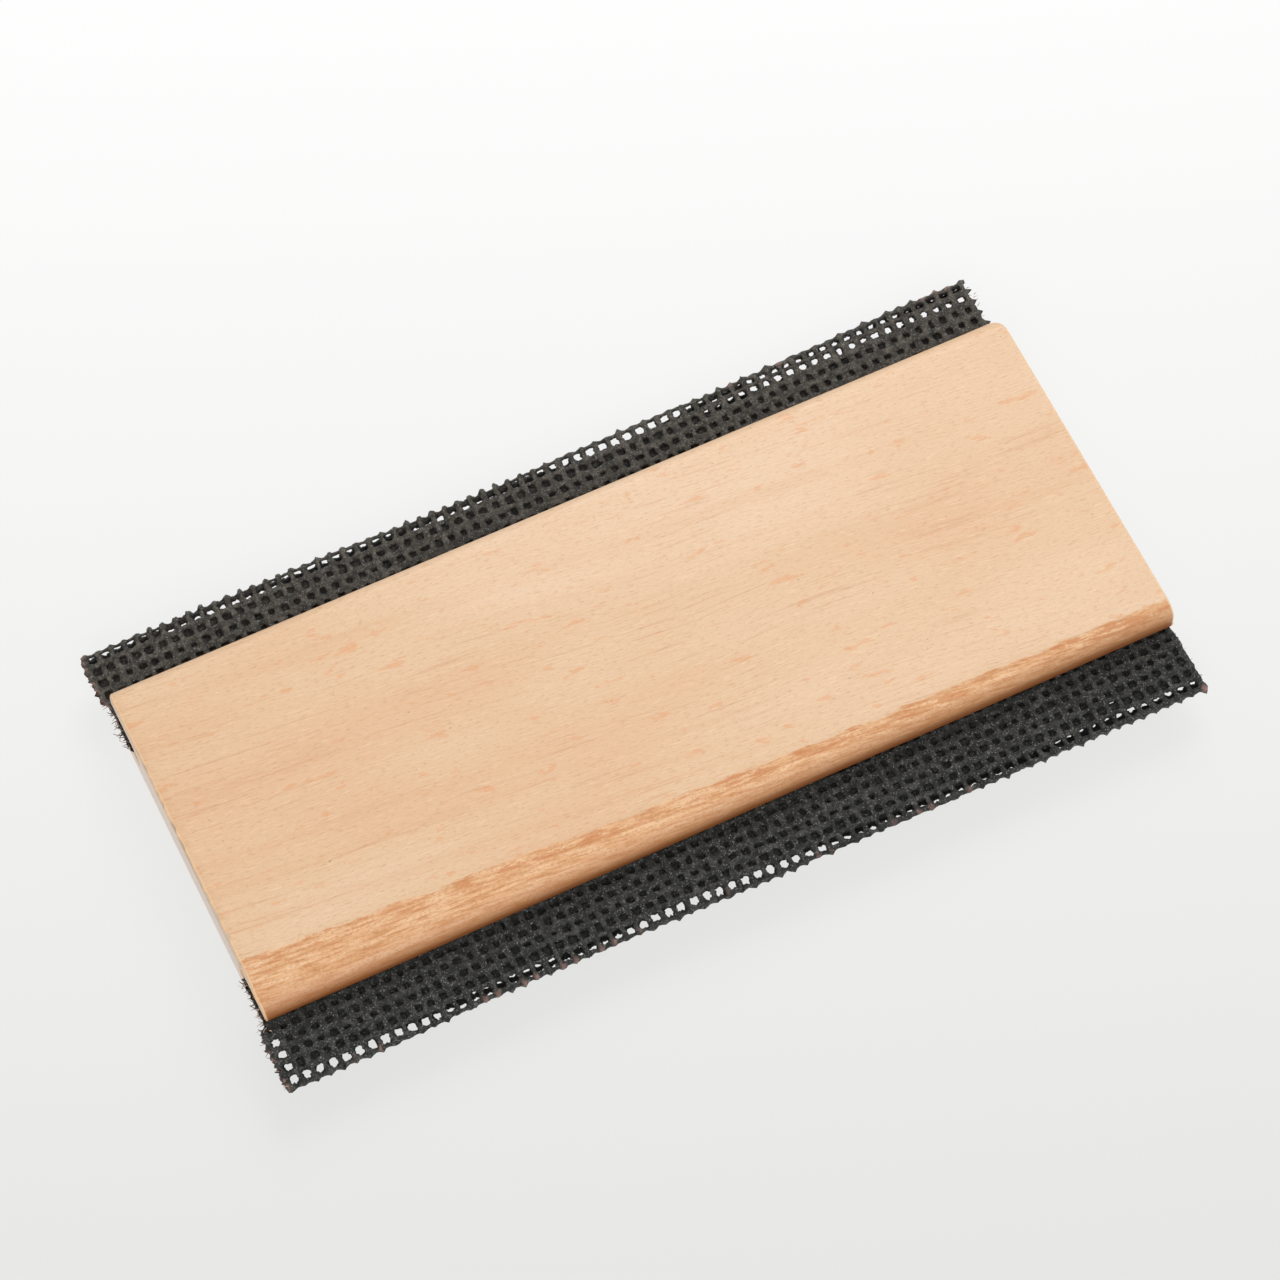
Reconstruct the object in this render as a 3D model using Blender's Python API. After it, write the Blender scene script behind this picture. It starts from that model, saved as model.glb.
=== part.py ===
"""Hand comb block: a thin beech block with a folded strip of abrasive net glued into each long side.

Frame: +X along the block, +Y across it, +Z up. The origin is in the middle of the base.
All lengths are in metres.
"""
import math

import bmesh
import bpy
from mathutils import Matrix, Vector

# Driving dimensions
BLOCK_LENGTH = 0.125
BLOCK_WIDTH = 0.048
BLOCK_THICKNESS = 0.010
NET_REACH = 0.0086          # how far each strip stands out of the block's side
NET_OVERHANG = 0.0003       # how far the strips run past each end of the block
SLOT_HEIGHT = 0.0024
SLOT_DEPTH = 0.0085
FIT_GAP = 0.0003            # clearance between neighbouring pieces

# The block's edges
LONG_EDGE_RADIUS = 0.0020
END_EDGE_EASE = 0.0003
EDGE_SEGMENTS = 5
FACET_SLOPE = math.radians(15.0)
FACET_START_WIDTH = 0.0073  # hand-planed facet, measured in from the near side at the -X end
FACET_END_WIDTH = 0.0020    # and at the +X end
FACET_EDGE_OFFSET = 0.0016  # rounding between the facet and the near side
SHARP_EDGE = math.radians(60.0)
SQUARE_EDGE = math.radians(85.0)

# The folded strip
NET_LAYER = 0.00075         # thickness of one layer of net
LAYER_GAP = 0.0003
FOLD_STEPS = 10
GLUE_WIDTH = 0.0008
GLUE_SET_BACK = 0.0005      # the glue stops short of the block's ends

MID_HEIGHT = BLOCK_THICKNESS / 2
HALF_LENGTH = BLOCK_LENGTH / 2
HALF_WIDTH = BLOCK_WIDTH / 2
SLOT_FLOOR = HALF_WIDTH - SLOT_DEPTH
GLUE_INNER = SLOT_FLOOR + FIT_GAP
NET_INNER = GLUE_INNER + GLUE_WIDTH + FIT_GAP
NET_OUTER = HALF_WIDTH + NET_REACH
NET_THICKNESS = 2 * NET_LAYER + LAYER_GAP
CUTTER_MARGIN = 0.004


def clear_scene():
    """Remove whatever the opening scene holds."""
    for leftover in list(bpy.data.objects):
        bpy.data.objects.remove(leftover, do_unlink=True)


def new_collection(name):
    """Make a collection and link it to the scene."""
    collection = bpy.data.collections.new(name)
    bpy.context.scene.collection.children.link(collection)
    return collection


def make_material(name, colour, roughness):
    """Plain Principled material; none of the pieces is metal."""
    material = bpy.data.materials.new(name)
    material.use_nodes = True
    shader = material.node_tree.nodes["Principled BSDF"]
    shader.inputs["Base Color"].default_value = (*colour, 1.0)
    shader.inputs["Roughness"].default_value = roughness
    shader.inputs["Metallic"].default_value = 0.0
    material.diffuse_color = (*colour, 1.0)
    return material


def mesh_object(name, form, collection, material=None):
    """Turn a bmesh into an object in the given collection."""
    mesh = bpy.data.meshes.new(name)
    form.to_mesh(mesh)
    form.free()
    piece = bpy.data.objects.new(name, mesh)
    if material:
        mesh.materials.append(material)
    collection.objects.link(piece)
    return piece


def box_form(size, centre):
    """A box as a bmesh, with its scale already in its vertices."""
    form = bmesh.new()
    place = Matrix.Translation(centre) @ Matrix.Diagonal((*size, 1.0))
    bmesh.ops.create_cube(form, size=1.0, matrix=place)
    return form


def plane_facet(form):
    """Plane the long shallow facet off the near top edge; it is wider at the -X end."""
    start = Vector((-HALF_LENGTH, FACET_START_WIDTH - HALF_WIDTH, BLOCK_THICKNESS))
    end = Vector((HALF_LENGTH, FACET_END_WIDTH - HALF_WIDTH, BLOCK_THICKNESS))
    along = (end - start).normalized()
    downhill = Vector((0.0, -math.cos(FACET_SLOPE), -math.sin(FACET_SLOPE)))
    normal = downhill.cross(along).normalized()
    if normal.z < 0:
        normal.negate()
    everything = form.verts[:] + form.edges[:] + form.faces[:]
    cut = bmesh.ops.bisect_plane(form, geom=everything, plane_co=start, plane_no=normal, clear_outer=True)
    rim = [item for item in cut["geom_cut"] if isinstance(item, bmesh.types.BMEdge)]
    bmesh.ops.contextual_create(form, geom=rim)
    bmesh.ops.recalc_face_normals(form, faces=form.faces)


def runs_lengthwise(edge):
    """True for an edge that goes from one end of the block to the other."""
    return abs(edge.verts[0].co.x - edge.verts[1].co.x) > BLOCK_LENGTH / 2


def round_over(form, edges, offset):
    """Bevel these edges to a round."""
    bmesh.ops.bevel(form, geom=edges, offset=offset, segments=EDGE_SEGMENTS, profile=0.5, affect="EDGES")


def round_long_edges(form):
    """Round the three square lengthwise edges, then the blunter one between the facet and the side."""
    sharp = [edge for edge in form.edges if runs_lengthwise(edge) and edge.calc_face_angle() > SHARP_EDGE]
    square = [edge for edge in sharp if edge.calc_face_angle() > SQUARE_EDGE]
    round_over(form, square, LONG_EDGE_RADIUS)
    blunt = [edge for edge in form.edges if runs_lengthwise(edge) and edge.calc_face_angle() > SHARP_EDGE]
    round_over(form, blunt, FACET_EDGE_OFFSET)


def ease_end(form, side):
    """Chamfer the edge of one end face: inset the face, then draw its old outline back along the block."""
    end = [face for face in form.faces if side * face.normal.x > 0.9]
    outline = {vert for face in end for vert in face.verts}
    bmesh.ops.inset_region(form, faces=end, thickness=END_EDGE_EASE, use_even_offset=True)
    for vert in outline:
        vert.co.x -= side * END_EDGE_EASE


def make_slot_cutter(side, name, cutters):
    """Box that saws the slot in one long side; side is 1 for far and -1 for near."""
    depth = SLOT_DEPTH + CUTTER_MARGIN
    size = (BLOCK_LENGTH + 2 * CUTTER_MARGIN, depth, SLOT_HEIGHT)
    centre = (0.0, side * (SLOT_FLOOR + depth / 2), MID_HEIGHT)
    cutter = mesh_object(name, box_form(size, centre), cutters)
    cutter.hide_render = True
    cutter.display_type = "WIRE"
    return cutter


def make_block(parts, cutters, material):
    """Beech block: a board with rounded long edges, one planed facet and a slot in each long side."""
    size = (BLOCK_LENGTH, BLOCK_WIDTH, BLOCK_THICKNESS)
    form = box_form(size, (0.0, 0.0, MID_HEIGHT))
    plane_facet(form)
    round_long_edges(form)
    for side in (1, -1):
        ease_end(form, side)
    block = mesh_object("wood_block", form, parts, material)
    for side, name in ((1, "far_slot_cutter"), (-1, "near_slot_cutter")):
        slot = block.modifiers.new(name, "BOOLEAN")
        slot.operation = "DIFFERENCE"
        slot.solver = "EXACT"
        slot.object = make_slot_cutter(side, name, cutters)
    block.data.shade_smooth()
    block.data.set_sharp_from_angle(angle=math.radians(30.0))
    return block


def fold_arc(radius):
    """Points round the outside of the fold, from the underside up to the top."""
    centre = NET_OUTER - NET_THICKNESS / 2
    angles = [math.pi * (step / FOLD_STEPS - 0.5) for step in range(FOLD_STEPS + 1)]
    return [(centre + radius * math.cos(angle), radius * math.sin(angle)) for angle in angles]


def fold_outline():
    """Closed outline of the strip's section: two layers joined by a round fold at the outer edge."""
    outer = fold_arc(NET_THICKNESS / 2)
    inner = fold_arc(LAYER_GAP / 2)
    lower_end = [(NET_INNER, -LAYER_GAP / 2), (NET_INNER, -NET_THICKNESS / 2)]
    upper_end = [(NET_INNER, NET_THICKNESS / 2), (NET_INNER, LAYER_GAP / 2)]
    return lower_end + outer + upper_end + inner[::-1]


def make_net_strip(side, name, parts, material):
    """One strip of net, folded double, with its fold outwards and its two free edges in the slot."""
    outline = fold_outline()
    curve = bpy.data.curves.new(name, "CURVE")
    curve.dimensions = "2D"
    curve.fill_mode = "BOTH"
    curve.extrude = HALF_LENGTH + NET_OVERHANG
    spline = curve.splines.new("POLY")
    spline.points.add(len(outline) - 1)
    for point, (across, up) in zip(spline.points, outline):
        point.co = (across, up, 0.0, 1.0)
    spline.use_cyclic_u = True
    curve.materials.append(material)
    strip = bpy.data.objects.new(name, curve)
    strip.location = (0.0, 0.0, MID_HEIGHT)
    strip.rotation_euler = (math.pi / 2, 0.0, side * math.pi / 2)
    parts.objects.link(strip)
    return strip


def make_glue_line(side, name, parts, material):
    """Line of set glue along the bottom of one slot, behind the strip's free edges."""
    size = (BLOCK_LENGTH - 2 * GLUE_SET_BACK, GLUE_WIDTH, SLOT_HEIGHT - 2 * FIT_GAP)
    centre = (0.0, side * (GLUE_INNER + GLUE_WIDTH / 2), MID_HEIGHT)
    return mesh_object(name, box_form(size, centre), parts, material)


def main():
    """Build the block, then a strip and a glue line for each side."""
    clear_scene()
    parts = new_collection("hand_comb_block")
    cutters = new_collection("cutters")
    beech = make_material("beech", (0.72, 0.45, 0.25), 0.45)
    abrasive_net = make_material("abrasive_net", (0.03, 0.03, 0.028), 0.9)
    wood_glue = make_material("wood_glue", (0.62, 0.48, 0.26), 0.35)
    make_block(parts, cutters, beech)
    for side, label in ((1, "far"), (-1, "near")):
        make_net_strip(side, f"{label}_net_strip", parts, abrasive_net)
        make_glue_line(side, f"{label}_glue_line", parts, wood_glue)


main()
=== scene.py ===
# %% [markdown]
# # A beech hand block with two strips of abrasive net
#
# The object is a thin beech board, 125 mm long, with a saw slot along each long side. A strip of
# black abrasive net is folded double and glued into each slot, so a fringe of net stands out of
# both sides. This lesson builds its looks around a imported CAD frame, which gives every size.
#
# We start with the tools that all the later cells use: the frame, numpy, and the size of the box
# that the CAD part fills.

import math

import bpy
import numpy as np
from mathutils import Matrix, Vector


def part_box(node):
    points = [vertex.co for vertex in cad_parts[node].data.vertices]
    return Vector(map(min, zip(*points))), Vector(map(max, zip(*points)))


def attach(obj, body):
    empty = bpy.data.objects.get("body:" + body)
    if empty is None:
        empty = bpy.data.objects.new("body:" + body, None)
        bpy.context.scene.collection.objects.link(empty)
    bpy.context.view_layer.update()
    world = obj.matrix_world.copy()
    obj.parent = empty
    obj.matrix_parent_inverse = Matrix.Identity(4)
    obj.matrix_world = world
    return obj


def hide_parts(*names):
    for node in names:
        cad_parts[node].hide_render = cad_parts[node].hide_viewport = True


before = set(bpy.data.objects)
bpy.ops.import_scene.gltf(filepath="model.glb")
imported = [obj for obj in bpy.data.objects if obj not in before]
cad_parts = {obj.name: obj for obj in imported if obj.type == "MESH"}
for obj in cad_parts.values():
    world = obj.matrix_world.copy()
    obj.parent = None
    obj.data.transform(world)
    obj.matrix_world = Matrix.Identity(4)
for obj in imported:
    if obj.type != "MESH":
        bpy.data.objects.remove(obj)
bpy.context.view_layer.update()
scene = bpy.context.scene
scene.view_settings.view_transform = "Standard"
MM = 0.001
print("CAD nodes:", sorted(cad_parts))

# %% [markdown]
# Positions come from the frame, so we read the boxes of the block and of the two strips once.
# `side` is 1 for the far strip and -1 for the near one.

# %% Sizes read from the frame
block_high = np.array(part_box("wood_block")[1])
HALF_LENGTH, HALF_WIDTH, THICKNESS = block_high[0], block_high[1], block_high[2]
net_low, net_high = (np.array(corner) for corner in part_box("far_net_strip"))
MID_HEIGHT = (net_low[2] + net_high[2]) / 2
print(f"block {2000 * HALF_LENGTH:.1f} x {2000 * HALF_WIDTH:.1f} x {1000 * THICKNESS:.1f} mm")

# %% [markdown]
# ## Helpers
#
# Colours are written as sRGB hex values, as a paint chart gives them. The shader works in linear
# light, so one function converts them. A second small function adds a node, sets its values and
# makes its links, which keeps each material readable as a list of steps.

# %% Colour and node helpers
def linear(hex_colour):
    """sRGB hex to linear RGBA: c/12.92 below 0.04045, else ((c + 0.055)/1.055) to the power 2.4."""
    value = int(hex_colour.lstrip("#"), 16)
    srgb = [(value >> shift & 255) / 255 for shift in (16, 8, 0)]
    return tuple(c / 12.92 if c <= 0.04045 else ((c + 0.055) / 1.055) ** 2.4 for c in srgb) + (1.0,)


def add_node(tree, kind, inputs=None, stops=(), **settings):
    """Add a node and give it its settings. Each input named in the dictionary is set or linked, and
    a colour ramp gets its (position, hex colour) stops."""
    node = tree.nodes.new("ShaderNode" + kind)
    for name, value in settings.items():
        setattr(node, name, value)
    for name, value in (inputs or {}).items():
        if isinstance(value, bpy.types.NodeSocket):
            tree.links.new(value, node.inputs[name])
        else:
            node.inputs[name].default_value = value
    if stops:
        elements = node.color_ramp.elements
        while len(elements) < len(stops):
            elements.new(0.5)
        for element, (position, hex_colour) in zip(elements, stops):
            element.position, element.color = position, linear(hex_colour)
    return node


def new_material(name):
    """An empty node material with an output node; returns the material, its tree and the output."""
    material = bpy.data.materials.new(name)
    material.use_nodes = True
    tree = material.node_tree
    tree.nodes.clear()
    return material, tree, tree.nodes.new("ShaderNodeOutputMaterial")


print("mid grey in linear light:", round(linear("#808080")[0], 3))

# %% [markdown]
# Every new piece is a surface worked out as numpy arrays. This function turns the arrays into a
# mesh: points as an (n, 3) array, faces as an (m, 4) array of corner numbers, and any values that a
# material wants to read as named attributes.

# %% From arrays to a mesh
def mesh_piece(name, points, quads, material, attributes=None, extra_faces=(), smooth=True):
    """Build a mesh object from an (n, 3) array of points and an (m, 4) array of quads."""
    faces = np.asarray(quads).tolist() + [list(face) for face in extra_faces]
    mesh = bpy.data.meshes.new(name)
    mesh.from_pydata(np.asarray(points, float).tolist(), [], faces)
    for label, values in (attributes or {}).items():
        layer = mesh.attributes.new(label, "FLOAT", "POINT")
        layer.data.foreach_set("value", np.asarray(values, np.float32).ravel())
    mesh.polygons.foreach_set("use_smooth", [smooth] * len(mesh.polygons))
    mesh.materials.append(material)
    mesh.validate()
    piece = bpy.data.objects.new(name, mesh)
    scene.collection.objects.link(piece)
    print(f"{name}: {len(mesh.vertices)} points, {sum(len(p.vertices) - 2 for p in mesh.polygons)} triangles")
    return piece


print("each new piece will report its points and triangles")

# %% [markdown]
# ## Camera
#
# The camera looks down at the block from 63 degrees above the floor, through a long lens, so the
# far edge is only a little smaller than the near one.

# %% The camera
CAMERA_AZIMUTH = math.radians(25.731)
CAMERA_ELEVATION = math.radians(62.792)
CAMERA_DISTANCE = 0.6684
CAMERA_TARGET = np.array([2.473, 6.098, 0.0]) * MM
forward = np.array([
    math.sin(CAMERA_AZIMUTH) * math.cos(CAMERA_ELEVATION),
    math.cos(CAMERA_AZIMUTH) * math.cos(CAMERA_ELEVATION),
    -math.sin(CAMERA_ELEVATION),
])
camera_data = bpy.data.cameras.new("camera")
camera_data.lens = 147.96
camera_data.sensor_width = 36.0
camera = bpy.data.objects.new("camera", camera_data)
camera.location = CAMERA_TARGET - forward * CAMERA_DISTANCE
camera.rotation_euler = (math.pi / 2 - CAMERA_ELEVATION, 0.0, -CAMERA_AZIMUTH)
scene.collection.objects.link(camera)
scene.camera = camera
SIGHT_DRIFT = forward[:2] / -forward[2]     # sideways travel of a line of sight for each metre down
print("a line of sight drifts by", SIGHT_DRIFT.round(3), "for each unit of depth")

# %% [markdown]
# ## Beech
#
# Steamed beech, planed, sanded and finished with a thin satin oil. It is pale pinkish tan. Its
# growth rings show as faint lines almost parallel to the board's length, and short brown flecks one
# to three millimetres long lie along the grain. A few orange-pink patches show where the plane
# lifted the fibres. The facet planed off the near edge is darker and warmer, because it cuts
# through the rings at another angle, and painted shade darkens it further towards its lower edge.

# %% Patterns along the grain, and layers of finish
GRAIN_SLANT = math.radians(4.5)
NO_SHIFT = (0.0, 0.0, 0.0)


def along_grain(tree, grain, scale, shift=NO_SHIFT, detail=2.0, rough=0.55, warp=0.0):
    """A soft pattern from 0 to 1. Its marks are about 1/scale metres long, wide and deep."""
    place = add_node(tree, "Mapping", {"Vector": grain, "Scale": scale, "Location": shift})
    return add_node(tree, "TexNoise", {
        "Vector": place.outputs["Vector"], "Scale": 1.0, "Detail": detail, "Roughness": rough,
        "Distortion": warp,
    }).outputs["Fac"]


def laid_over(tree, below, above, share, pattern, levels=None, only_where=None):
    """One finish over another: how much of the upper one shows is share times the pattern, which may
    first be stretched so that levels[0] gives 0 and levels[1] gives 1. only_where is a second
    (pattern, levels) that is multiplied in."""
    amount = share
    for source, ends in ((pattern, levels), only_where or (None, None)):
        if source is None:
            continue
        if ends:
            source = add_node(tree, "MapRange", {
                "Value": source, "From Min": ends[0], "From Max": ends[1],
            }, interpolation_type="SMOOTHSTEP").outputs["Result"]
        amount = add_node(tree, "Math", {0: source, 1: amount}, operation="MULTIPLY").outputs[0]
    return add_node(tree, "Mix", {0: amount, 6: below, 7: above}, data_type="RGBA").outputs[2]


print(f"the grain slants by {math.degrees(GRAIN_SLANT):.1f} degrees")

# %% [markdown]
# The flat faces come first. Over a pale, slightly cloudy ground lie the growth rings, bundles of
# thin lines, brown fibre ticks, pale fibres, a fine speckle, the torn orange-pink patches and a few
# pinholes. Each layer is one pattern and one colour, so it can be tuned alone.

# %% The flat faces of the beech
def beech_ground(tree, grain):
    """Pale ground with the layers of marks over it; also returns the ticks and the speckle."""
    clouds = along_grain(tree, grain, (16.0, 55.0, 55.0))
    stops = [(0.30, "#DBB08A"), (0.50, "#DEBA95"), (0.70, "#E2C2A1")]
    colour = add_node(tree, "ValToRGB", {"Fac": clouds}, stops).outputs["Color"]
    rings = along_grain(tree, grain, (8.0, 380.0, 380.0), detail=3.0)
    colour = laid_over(tree, colour, linear("#CF9464"), 0.15, rings, (0.52, 0.68))
    lines = along_grain(tree, grain, (60.0, 2400.0, 2400.0), (4.0, 4.0, 0.0))
    line_zone = along_grain(tree, grain, (45.0, 130.0, 130.0), (1.0, 8.0, 0.0))
    colour = laid_over(tree, colour, linear("#BE8150"), 0.30, lines, (0.55, 0.66), (line_zone, (0.42, 0.62)))
    ticks = along_grain(tree, grain, (900.0, 4300.0, 4300.0), rough=0.6)
    colour = laid_over(tree, colour, linear("#B98053"), 0.36, ticks, (0.54, 0.70))
    pale_fibres = along_grain(tree, grain, (420.0, 3900.0, 3900.0), (5.0, 2.0, 0.0))
    colour = laid_over(tree, colour, linear("#F3D2B0"), 0.34, pale_fibres, (0.54, 0.72))
    speckle = along_grain(tree, grain, (2300.0, 4800.0, 4800.0), (8.0, 2.0, 0.0), rough=0.7)
    colour = laid_over(tree, colour, linear("#C99A6E"), 0.20, speckle, (0.50, 0.66))
    patches = along_grain(tree, grain, (230.0, 680.0, 680.0), (2.0, 7.0, 0.0), 4.0, 0.62, 0.3)
    colour = laid_over(tree, colour, linear("#DB9159"), 0.42, patches, (0.60, 0.68))
    pinholes = along_grain(tree, grain, (1500.0, 1900.0, 1900.0), (3.0, 3.0, 0.0), detail=1.0)
    colour = laid_over(tree, colour, linear("#8F8062"), 0.6, pinholes, (0.76, 0.80))
    return colour, ticks, speckle


print("pale ground of the beech in linear light:", np.round(linear("#DEBA95")[:3], 3))

# %% [markdown]
# The cut faces differ. The planed facet is streaked and warmer, and its upper border is torn, so the
# line between the two finishes is shaken by a pattern of its own; towards its lower edge it carries
# painted shade. The lip beside the slot is dull and painted dark: painted shade where the edge rounds
# down into the slot. The ends are painted pale, paler towards the foot, as painted light from the
# glowing floor, with a painted highlight on their eased edges. The mesh carries one value for each
# of these zones.

# %% The facet, the lip and the sawn ends
ZONES = ("facet_depth", "facet_foot_shade", "painted_shade_lip", "end_grain", "end_edge_highlight")


def beech_cut_faces(tree, coords, grain, ground, speckle):
    """The cut faces over the ground, with painted shade on the facet's foot and the lip and painted light on
    the ends; also returns the streaks and the lip's zone.
    """
    depth, share, painted_shade_lip, end_grain, end_edge_highlight = (
        add_node(tree, "Attribute", attribute_name=zone).outputs["Fac"] for zone in ZONES)
    streaks = along_grain(tree, grain, (240.0, 2600.0, 2600.0), (9.0, 1.0, 3.0), 3.0, 0.6)
    stops = [(0.36, "#C98A54"), (0.48, "#DFAA7B"), (0.62, "#ECC196")]
    planed = add_node(tree, "ValToRGB", {"Fac": streaks}, stops).outputs["Color"]
    # Painted shade: the facet darkens towards its lower edge, where it rolls down to the slot.
    planed = laid_over(tree, planed, linear("#B8743F"), 0.56, share, (0.45, 1.0))
    planed = laid_over(tree, planed, linear("#A8662F"), 0.38, speckle, (0.50, 0.62))
    torn = along_grain(tree, grain, (260.0, 1200.0, 1200.0), (0.0, 5.0, 3.0), 5.0, 0.68)
    planed = laid_over(tree, planed, linear("#C4763F"), 0.66, torn, (0.50, 0.57), (depth, (2.4, 0.9)))
    jag = along_grain(tree, grain, (190.0, 900.0, 900.0), (6.0, 6.0, 0.0), 4.0, 0.65)
    torn_edge = add_node(tree, "Math", {0: jag, 1: 1.8, 2: depth}, operation="MULTIPLY_ADD").outputs[0]
    colour = laid_over(tree, ground, planed, 0.88, torn_edge, (0.85, 1.10))
    # Painted shade: the lip is darkened where the edge rounds down into the slot.
    colour = laid_over(tree, colour, linear("#844415"), 0.84, painted_shade_lip)
    height = add_node(tree, "SeparateXYZ", {"Vector": coords}).outputs["Z"]
    # Painted light: the end faces are painted pale, paler towards the foot, in place of the floor's glow on
    # them.
    painted_lit_end = laid_over(tree, linear("#EFD3BA"), linear("#F1DED0"), 1.0, height, (0.009, 0.005))
    colour = laid_over(tree, colour, painted_lit_end, 0.92, end_grain)
    # Painted highlight along the eased edges of both ends.
    colour = laid_over(tree, colour, linear("#F7CFA2"), 0.75, end_edge_highlight)
    return colour, streaks, painted_shade_lip


print("zones that the block's mesh has to carry:", ", ".join(ZONES))

# %% [markdown]
# All patterns share one set of coordinates: the object's own, swayed a little and turned by the
# slant of the grain, so rings and ticks bend together. The ticks and streaks also raise the surface
# by a few hundredths of a millimetre. The oil gives a satin gloss, which fades towards the lip.

# %% The beech material
def make_beech():
    """Beech: the flat and cut faces on swayed coordinates, with a fine relief and a satin gloss."""
    material, tree, output = new_material("beech_satin")
    coords = add_node(tree, "TexCoord").outputs["Object"]
    sway = add_node(tree, "TexNoise", {"Vector": coords, "Scale": 24.0, "Detail": 1.0}).outputs["Color"]
    swayed = add_node(tree, "VectorMath", {0: sway, 1: (0.0, 0.0035, 0.0), 2: coords},
                      operation="MULTIPLY_ADD").outputs["Vector"]
    turned = add_node(tree, "Mapping", {"Vector": swayed, "Rotation": (0.0, 0.0, GRAIN_SLANT)})
    grain = turned.outputs["Vector"]
    ground, ticks, speckle = beech_ground(tree, grain)
    colour, streaks, painted_shade_lip = beech_cut_faces(tree, coords, grain, ground, speckle)
    relief = add_node(tree, "Math", {0: ticks, 1: streaks}, operation="ADD").outputs[0]
    bump = add_node(tree, "Bump", {"Height": relief, "Strength": 0.35, "Distance": 0.07 * MM})
    gloss = add_node(tree, "Math", {0: painted_shade_lip, 1: -0.45, 2: 0.5}, operation="MULTIPLY_ADD").outputs[0]
    shader = add_node(tree, "BsdfPrincipled", {
        "Base Color": colour, "Roughness": 0.42, "IOR": 1.5, "Specular IOR Level": gloss,
        "Normal": bump.outputs["Normal"],
    })
    tree.links.new(shader.outputs["BSDF"], output.inputs["Surface"])
    return material


beech = make_beech()
print(f"{beech.name}: {len(beech.node_tree.nodes)} nodes")

# %% [markdown]
# ## The block
#
# The board could be a box with bevels, but its facet gets narrower from one end to the other, so a
# carried profile suits it better. At each station along X we work out the closed outline of the
# section: rounded edges of 2 mm, the facet at 15 degrees on the near side, and the two saw slots.
# The last stations at each end draw the outline in by a quarter circle, which eases the end's edge.

# %% The section of the block
EDGE_RADIUS = 2.0 * MM
FACET_SLOPE = math.radians(15.0)
SLOT_DEPTH = 8.5 * MM
SLOT_LOW, SLOT_HIGH = 3.8 * MM, 6.2 * MM
END_EASE = 0.35 * MM
FACET_LINE = np.array([(-62.5, -16.7), (-35.2, -18.7), (-3.2, -19.9), (25.0, -21.2), (62.5, -21.9)]) * MM


def facet_start(x):
    """Where the facet leaves the top plane at x: a smooth curve through the points of FACET_LINE."""
    fit = np.polyfit(FACET_LINE[:, 0], FACET_LINE[:, 1], 3)
    return np.polyval(fit, x)


def run(start, end, count):
    """Points along a straight run of the outline, without its end; start and end may be arrays."""
    t = np.linspace(0.0, 1.0, count, endpoint=False)
    start, end = (np.stack(np.broadcast_arrays(*p, np.zeros(len(stations)))[:2], -1) for p in (start, end))
    return start[:, None, :] + (end - start)[:, None, :] * t[None, :, None]


def arc(centre_y, centre_z, first, last, count):
    """Points on a round of EDGE_RADIUS about a centre, from one angle in degrees to another."""
    angle = np.radians(np.linspace(first, last, count, endpoint=False))
    centre_y, centre_z = (np.broadcast_to(c, len(stations))[:, None] for c in (centre_y, centre_z))
    return np.stack([centre_y + EDGE_RADIUS * np.cos(angle), centre_z + EDGE_RADIUS * np.sin(angle)], -1)


print(f"at the middle, the facet starts {-facet_start(0.0) / MM:.1f} mm from the centre line")

# %% [markdown]
# A station is a place along X where the outline is worked out. Most are evenly spread. They are
# closer at the far right corner, which is rounded off in plan, and at the two eased ends.

# %% Stations along the block
ease = np.linspace(0.0, math.pi / 2, 5)
CORNER = 1.5 * MM             # the far right corner is rounded off in plan
body_stations = np.concatenate([
    np.linspace(-HALF_LENGTH + END_EASE, HALF_LENGTH - CORNER, 119, endpoint=False),
    np.linspace(HALF_LENGTH - CORNER, HALF_LENGTH - END_EASE, 8),
])
ease_stations = HALF_LENGTH - END_EASE + END_EASE * np.sin(ease[1:])
drawn_in = END_EASE * (1 - np.cos(ease[1:]))
stations = np.concatenate([-ease_stations[::-1], body_stations, ease_stations])
inset = np.concatenate([drawn_in[::-1], np.zeros(len(body_stations)), drawn_in])
print(f"{len(stations)} stations, from {stations[0] / MM:.2f} to {stations[-1] / MM:.2f} mm")

# %% [markdown]
# The outline is the same list of runs and rounds at every station, and only the facet's corners
# move. It goes round the section from the near side, below the slot, and a short soft step joins
# the top plane to the facet.

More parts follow.
